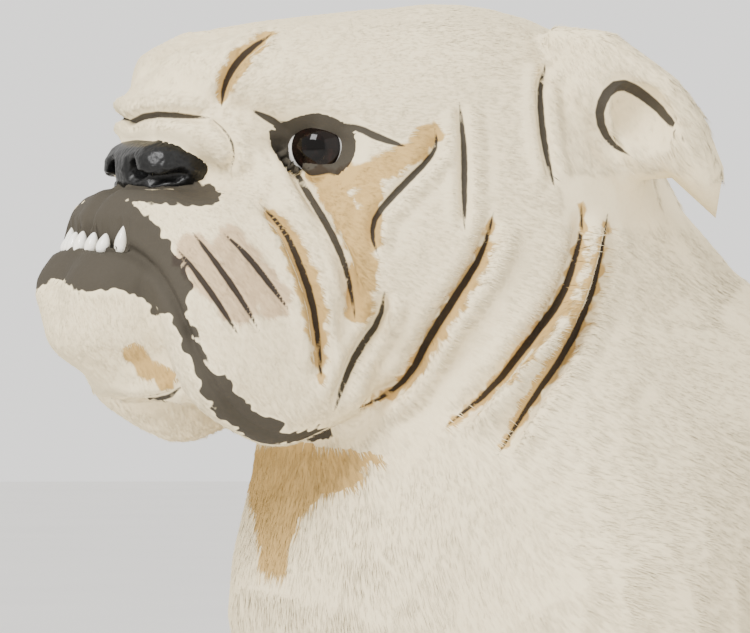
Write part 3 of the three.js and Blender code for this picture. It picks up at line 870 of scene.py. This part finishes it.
class BULLDOG_OT_eyes(bpy.types.Operator):
    """Make both eyeballs, with iris, pupil and white"""

    bl_idname = "bulldog.eyes"
    bl_label = "Eyes"

    def execute(self, context):
        look = context.scene.bulldog_face
        material = eye_material(look)
        for name, side in SIDES:
            centre, _, _ = eye_axes(side)
            forward = np.array([side * math.sin(GAZE), -math.cos(GAZE), 0])
            deselect()
            bpy.ops.mesh.primitive_uv_sphere_add(
                segments=64, ring_count=40, radius=EYE_RADIUS, location=centre,
                rotation=(math.pi / 2, 0, side * GAZE),
            )
            ball = active()
            bpy.ops.object.transform_apply(location=True, rotation=True, scale=True)
            points = points_of(ball.data)
            ray = (points - centre) / EYE_RADIUS
            angle = np.arccos(np.clip(ray @ forward, -1, 1))
            cornea = look.iris * 1.05
            bulge = 0.0009 * step(cornea, 0.2 * cornea, EYE_RADIUS * np.sin(np.minimum(angle, math.pi / 2)))
            put_points(ball.data, centre + ray * (EYE_RADIUS + bulge)[:, None])
            ring = ball.data.attributes.new("off_axis", "FLOAT", "POINT")
            ring.data.foreach_set("value", (angle / math.pi).astype(np.float32))
            bpy.ops.object.shade_smooth()
            finished(ball, "eyeball_" + name, material, "eye", "eye_" + name)
        return {"FINISHED"}


class BULLDOG_OT_teeth(bpy.types.Operator):
    """Make the lower front teeth that show between the lips"""

    bl_idname = "bulldog.teeth"
    bl_label = "Teeth"

    def execute(self, context):
        teeth = []
        for place, (x, y) in enumerate(tooth_places()):
            deselect()
            bpy.ops.mesh.primitive_uv_sphere_add(segments=20, ring_count=14, radius=TOOTH, location=(0, 0, 0))
            tooth = active()
            points = points_of(tooth.data)
            canine = place >= FIRST_CANINE
            high = CANINE_HEIGHT if canine else TOOTH_HEIGHT - TOOTH_FALL * place
            rise = points[:, 2] / (2 * TOOTH) + 0.5
            narrow = 1 - (0.6 if canine else 0.45) * rise**2
            points[:, 0] *= TOOTH_WIDTH * narrow
            points[:, 1] *= TOOTH_WIDTH * narrow
            points[:, 1] += 0.0016 * rise**2
            points[:, 2] = GUM - TOOTH_ROOT + high * rise
            points[:, 0] += x * (1 + 0.03 * rise)
            points[:, 1] += y
            put_points(tooth.data, points)
            teeth.append(tooth)
        activate(*teeth)
        bpy.ops.object.join()
        bpy.ops.object.shade_smooth()
        enamel = context.scene.bulldog_face.enamel
        yellow = [c * f for c, f in zip(enamel, (0.95, 0.9, 0.8))]
        material = plain_material("enamel", enamel, yellow, 160.0, 0.25, 0.5)
        finished(active(), "teeth", material, "coat")
        return {"FINISHED"}


FEET = ((0.124, -0.064, 1.14), (0.106, 0.246, 1.0))  # x, y and size of a fore and a hind foot, y from SHIFT
TOE_GAP = 0.0193  # from one toe's middle to the next
CLAW_RADIUS, CLAW_TIP_RADIUS, CLAW_REACH, CLAW_DROP = 0.005, 0.0019, 0.0185, 0.0115


def claw_places():
    for x, y, size in FEET:
        for place in (-1.5, -0.5, 0.5, 1.5):
            toe = x + place * TOE_GAP * size
            yield toe, y + SHIFT - (0.036 - abs(place) * 0.009) * size, 0.018 * size, size


class BULLDOG_OT_claws(bpy.types.Operator):
    """Make the blunt, curved claws"""

    bl_idname = "bulldog.claws"
    bl_label = "Claws"

    def execute(self, context):
        claws = []
        for x, y, z, size in claw_places():
            deselect()
            bpy.ops.mesh.primitive_cone_add(vertices=18, radius1=CLAW_RADIUS, radius2=CLAW_TIP_RADIUS, depth=1)
            claw = active()
            edit_all()
            bpy.ops.mesh.bisect(plane_co=(0, 0, 0.18), plane_no=(0, 0, 1))
            for level in (-0.3, -0.1, 0.05, 0.3, 0.4, 0.46):
                bpy.ops.mesh.select_all(action="SELECT")
                bpy.ops.mesh.bisect(plane_co=(0, 0, level), plane_no=(0, 0, 1))
            edit_done()
            points = points_of(claw.data)
            t = points[:, 2] + 0.5
            cap = np.sqrt(np.clip(1 - np.clip((t - 0.86) / 0.15, 0, 1) ** 2, 0.02, 1))
            across, rise = points[:, 0] * cap, points[:, 1] * cap * 1.15
            turn = 0.35 + 0.85 * t
            reach, drop = CLAW_REACH * t - 0.002, 0.0012 + CLAW_DROP * t**1.6
            points = np.stack([
                x + across,
                y - reach - rise * np.sin(turn),
                np.maximum(z * 0.98 - drop + rise * np.cos(turn), 0.0008),
            ], 1)
            put_points(claw.data, points)
            claws.append(claw)
        activate(*claws)
        bpy.ops.object.join()
        left = active()
        bpy.ops.object.duplicate()
        right = active()
        put_points(right.data, points_of(right.data) * [-1, 1, 1])
        right.data.flip_normals()
        activate(left, right)
        bpy.ops.object.join()
        edit_all()
        bpy.ops.mesh.normals_make_consistent(inside=False)
        edit_done()
        bpy.ops.object.shade_smooth_by_angle(angle=math.radians(50))
        horn = context.scene.bulldog_face.horn
        material = plain_material("horn", horn, [c * 2.1 for c in horn], 130.0, 0.38, 0.2, 0.0002)
        finished(active(), "claws", material, "nose_leather")
        return {"FINISHED"}


# Coat


def coat_flow(points):
    """Which way the hair lies at each point, before it is laid along the skin."""
    x, y, z = points.T
    side = np.sign(x)
    head = part_of_body(points, *HEAD)
    legs = step(0.19, 0.13, z)
    feet = step(0.055, 0.03, z)
    flow = np.stack([0 * x, 0 * x + 1.0, -0.45 - 0.9 * step(-0.1, -0.17, y)], 1)
    from_nose = points - (NOSE_TIP + [0, 0.02, 0])
    from_nose /= sizes(from_nose)[:, None]
    down_legs = np.stack([0.1 * side, 0 * x + 0.15, 0 * x - 1], 1)
    for share, way in ((head, from_nose + [0, 0.35, -0.1]), (legs, down_legs), (feet, np.array([0, -0.9, -0.5]))):
        flow = flow * (1 - share)[:, None] + way * share[:, None]
    for (low, high), (_, ear_side) in zip(EAR_BOXES, SIDES):
        flow[in_box(points, low, high, 0.002)] = [0.35 * ear_side, 0.55, -0.75]
    return flow


def hair_scale(points):
    """Length of the hair against the trunk's: shortest on the face, ears and feet."""
    face, head = part_of_body(points, *SHORT_FACE), part_of_body(points, *SHORT_HEAD)
    feet = step(0.10, 0.045, points[:, 2])
    scale = 1 - 0.35 * head - 0.27 * face - 0.55 * feet * (1 - face)
    return np.maximum(scale + 0.3 * part_of_body(points, *BREECH), SHORTEST)


COAT = ("coat_face", "coat_crown", "coat_neck", "coat_chest", "coat_side", "coat_back", "coat_rear")
SHORTEST = 0.34  # the shortest hair against the trunk's
BARE_TIP = 0.024  # height of the bare tip of an ear
LIFT = (3, 9)  # tufts off the skin, in degrees
# A tuft has two corners at its root, one on its ridge and one at its tip.
TUFT_FACES = np.array([[0, 1, 3], [0, 3, 2], [2, 3, 1], [0, 2, 1]])
TUFT_PATCH = np.array([[-1, -1], [1, -1], [0, 0.2], [0, 1]]) * 0.0015


class BULLDOG_OT_coat(bpy.types.Operator):
    """Lay short tufts over the skin, along the way the coat grows"""

    bl_idname = "bulldog.coat"
    bl_label = "Coat"

    def execute(self, context):
        look = context.scene.bulldog_coat
        skin = bpy.data.objects["skin"].data
        skin.calc_loop_triangles()
        corners, loops = (read(skin.loop_triangles, key, 3, np.int64) for key in ("vertices", "loops"))
        count = len(corners)
        uv = read(skin.uv_layers["OFBake"].uv, "vector", 2)
        points, normals = points_of(skin), normals_of(skin)
        marks = read(skin.attributes["marks"].data, "color", 4).astype(float)
        a, b, c = (points[corners[:, k]] for k in range(3))
        middle = (a + b + c) / 3
        area = sizes(np.cross(b - a, c - a)) / 2
        weight = area * self.cover(middle, marks[corners].mean(1)) / hair_scale(middle) ** 1.2
        # The pieces follow each other from the nose to the tail and each holds the same share of the coat.
        order = np.argsort(sizes((middle - NOSE_TIP) * [0.6, 1, 0.5]))
        share = np.cumsum(weight[order]) / weight.sum()
        region = np.empty(count, dtype=np.int64)
        region[order] = np.minimum(share * len(COAT), len(COAT) - 1).astype(np.int64)
        material = coat_material("coat_hair", context.scene.bulldog_skin, True)
        for index, name in enumerate(COAT):
            dice = np.random.default_rng(look.seed + index)
            chance = np.where(region == index, weight, 0)
            chosen = dice.choice(count, look.tufts, p=chance / chance.sum())
            first, second = dice.random((2, look.tufts))
            fold = first + second > 1
            first, second = np.where(fold, 1 - first, first), np.where(fold, 1 - second, second)
            spread = np.stack([1 - first - second, first, second], 1)[:, :, None]
            root = (points[corners[chosen]] * spread).sum(1)
            normal = (normals[corners[chosen]] * spread).sum(1)
            marked = (marks[corners[chosen]] * spread).sum(1)
            root_uv = (uv[loops[chosen]] * spread).sum(1)
            self.lay(name, root, normal, marked, root_uv, look, dice, material)
        return {"FINISHED"}

    def cover(self, middle, marks):
        """How thickly the tufts stand: none where the marks are dark (bare skin and painted shade), nor on eyes,
        nose, gums and pads.
        """
        cover = 1 - step(0.42, 0.5, marks[:, 1])
        for _, side in SIDES:
            cover = cover * step(2.2, 3.6, eye_opening(middle, side)[1])
        cover = cover * ~in_box(middle, np.array(NOSE_LOW), np.array(NOSE_HIGH), 0.002)
        for low, high in EAR_BOXES:
            cover = cover * ~(in_box(middle, low, high) & (middle[:, 2] < low[2] + BARE_TIP))
        for x, y in tooth_places():
            near = (np.hypot(middle[:, 0] - x, middle[:, 1] - y) < 0.009) & (middle[:, 2] > GUM - 0.004)
            cover = cover * ~(near & (middle[:, 2] < GUM + 0.02))
        return cover * (middle[:, 2] > 0.004)

    def lay(self, name, root, normal, marks, root_uv, look, dice, material):
        """Builds one piece of coat: each tuft is a flat spike with a ridge, on four faces."""
        normal = normal / sizes(normal)[:, None]
        count = len(root)
        flow = coat_flow(root) + 0.16 * dice.standard_normal((count, 3))
        along_skin = flow - normal * (flow * normal).sum(1)[:, None]
        along_skin /= np.maximum(sizes(along_skin), 1e-6)[:, None]
        across = np.cross(normal, along_skin)
        scale = hair_scale(root)
        long = look.hair * scale * dice.uniform(0.75, 1.2, count)
        half = look.width / 2 * np.clip(scale, 0.55, 1) * dice.uniform(0.8, 1.25, count)
        rise = np.radians(dice.uniform(*LIFT, count))
        base = root - normal * 0.0003
        tip = root + along_skin * (long * np.cos(rise))[:, None] + normal * (long * np.sin(rise) * 0.8)[:, None]
        tip[:, 2] = np.maximum(tip[:, 2], 0.001)
        ridge = base + normal * (half * 0.4 + 0.0003)[:, None] + along_skin * (long * 0.12)[:, None]
        corners = np.stack([base - across * half[:, None], base + across * half[:, None], ridge, tip], 1)
        # No tuft hangs over a dark crease, a lid or a lip.
        reach = np.stack([markings(root + (tip - root) * part, normal)[:, 1] for part in (0.5, 1.0)]).max(0)
        kept = reach < 0.48
        corners, marks, root_uv, normal = (values[kept] for values in (corners, marks, root_uv, normal))
        count = kept.sum()
        faces = (TUFT_FACES[None] + 4 * np.arange(count)[:, None, None]).reshape(-1, 3)
        mesh = bpy.data.meshes.new(name)
        mesh.vertices.add(4 * count)
        mesh.vertices.foreach_set("co", corners.ravel())
        mesh.loops.add(faces.size)
        mesh.loops.foreach_set("vertex_index", faces.ravel())
        mesh.polygons.add(len(faces))
        mesh.polygons.foreach_set("loop_start", np.arange(0, faces.size, 3))
        mesh.polygons.foreach_set("loop_total", np.full(len(faces), 3))
        layer = mesh.uv_layers.new(name="OFBake")
        spot = (root_uv[:, None] + TUFT_PATCH[None]).reshape(-1, 2)
        layer.uv.foreach_set("vector", spot[faces.ravel()].astype(np.float32).ravel())
        mesh.update(calc_edges=True)
        mesh.validate()
        # Shaded as the skin is, so that the coat looks sleek.
        mesh.normals_split_custom_set_from_vertices(np.repeat(normal, 4, axis=0).tolist())
        shade = np.clip(marks[:, 3] * 0.55 + 0.45 * dice.random(count), 0, 1)
        put_marks(mesh, np.repeat(marks[:, :3], 4, axis=0), np.repeat(shade, 4))
        piece = bpy.data.objects.new(name, mesh)
        bpy.context.scene.collection.objects.link(piece)
        finished(piece, name, material, "coat")


# Stage

VIEW_AIM = Vector((0.050, SHIFT - 0.1246, 0.3963))  # the middle of what the camera sees
LIGHT_AIM = Vector((0, -0.15, 0.40))
LIGHTS = (  # name, place, size and power
    ("key", (1.2, -2.4, 2.4), 1.2, 150),
    ("fill", (2.9, 0.2, 1.0), 2.2, 16),
    ("rim", (-1.6, 1.6, 2.4), 1.4, 50),
)
SKY, SKY_STRENGTH = (1.0, 0.985, 0.96, 1), 1.5
SENSOR = 36  # width of the camera's sensor, in millimetres


class BULLDOG_OT_stage(bpy.types.Operator):
    """Set the camera, the soft studio lights and the pale floor"""

    bl_idname = "bulldog.stage"
    bl_label = "Stage"

    def execute(self, context):
        look = context.scene.bulldog_stage
        self.camera(look)
        self.lights()
        deselect()
        bpy.ops.mesh.primitive_circle_add(vertices=160, radius=look.floor_size, fill_type="NGON")
        floor = active()
        floor.name = "floor"
        floor.data.materials.append(
            plain_material("floor", look.floor_colour, [c * 0.97 for c in look.floor_colour], 3.0, 0.75)
        )
        world = bpy.data.worlds.new("studio")
        world.use_nodes = True
        put(world.node_tree.nodes["Background"], Color=SKY, Strength=SKY_STRENGTH)
        context.scene.world = world
        return {"FINISHED"}

    def camera(self, look):
        """At the head's height, from the front quarter, far enough away that nothing is distorted."""
        back = Vector((math.sin(QUARTER), -math.cos(QUARTER), 0))
        bpy.ops.object.camera_add(location=VIEW_AIM + back * look.camera_distance)
        camera = active()
        camera.rotation_euler = (-back).to_track_quat("-Z", "Y").to_euler()
        camera.data.lens = SENSOR * look.camera_distance / look.frame_width
        camera.data.clip_end = 60
        bpy.context.scene.camera = camera

    def lights(self):
        for name, place, size, power in LIGHTS:
            bpy.ops.object.light_add(type="AREA", location=place)
            light = active()
            light.name = name
            light.rotation_euler = (LIGHT_AIM - Vector(place)).to_track_quat("-Z", "Y").to_euler()
            light.data.size = size
            light.data.energy = power


# The add-on


class BULLDOG_PT_panel(bpy.types.Panel):
    """Lists the pieces of the bulldog and their settings"""

    bl_idname = "BULLDOG_PT_panel"
    bl_label = "English Bulldog"
    bl_space_type = "VIEW_3D"
    bl_region_type = "UI"
    bl_category = "Bulldog"

    def draw(self, context):
        for name in SETTINGS:
            box = self.layout.box()
            box.label(text=name.split("_")[1].title())
            settings = getattr(context.scene, name)
            for key in settings.__annotations__:
                box.prop(settings, key)
        for operator in OPERATORS:
            self.layout.operator(operator.bl_idname)


SETTINGS = {
    "bulldog_skin": BulldogSkinSettings,
    "bulldog_coat": BulldogCoatSettings,
    "bulldog_face": BulldogFaceSettings,
    "bulldog_stage": BulldogStageSettings,
}
OPERATORS = (
    BULLDOG_OT_skin,
    BULLDOG_OT_nose,
    BULLDOG_OT_eyes,
    BULLDOG_OT_teeth,
    BULLDOG_OT_claws,
    BULLDOG_OT_coat,
    BULLDOG_OT_stage,
)


def register():
    for made in (*SETTINGS.values(), *OPERATORS, BULLDOG_PT_panel):
        bpy.utils.register_class(made)
    for name, settings in SETTINGS.items():
        setattr(bpy.types.Scene, name, bpy.props.PointerProperty(type=settings))


def unregister():
    for name in SETTINGS:
        delattr(bpy.types.Scene, name)
    for made in reversed((*SETTINGS.values(), *OPERATORS, BULLDOG_PT_panel)):
        bpy.utils.unregister_class(made)


def main():
    register()
    bpy.ops.bulldog.skin()
    bpy.ops.bulldog.nose()
    bpy.ops.bulldog.eyes()
    bpy.ops.bulldog.teeth()
    bpy.ops.bulldog.claws()
    bpy.ops.bulldog.coat()
    bpy.ops.bulldog.stage()


if __name__ == "__main__":
    main()
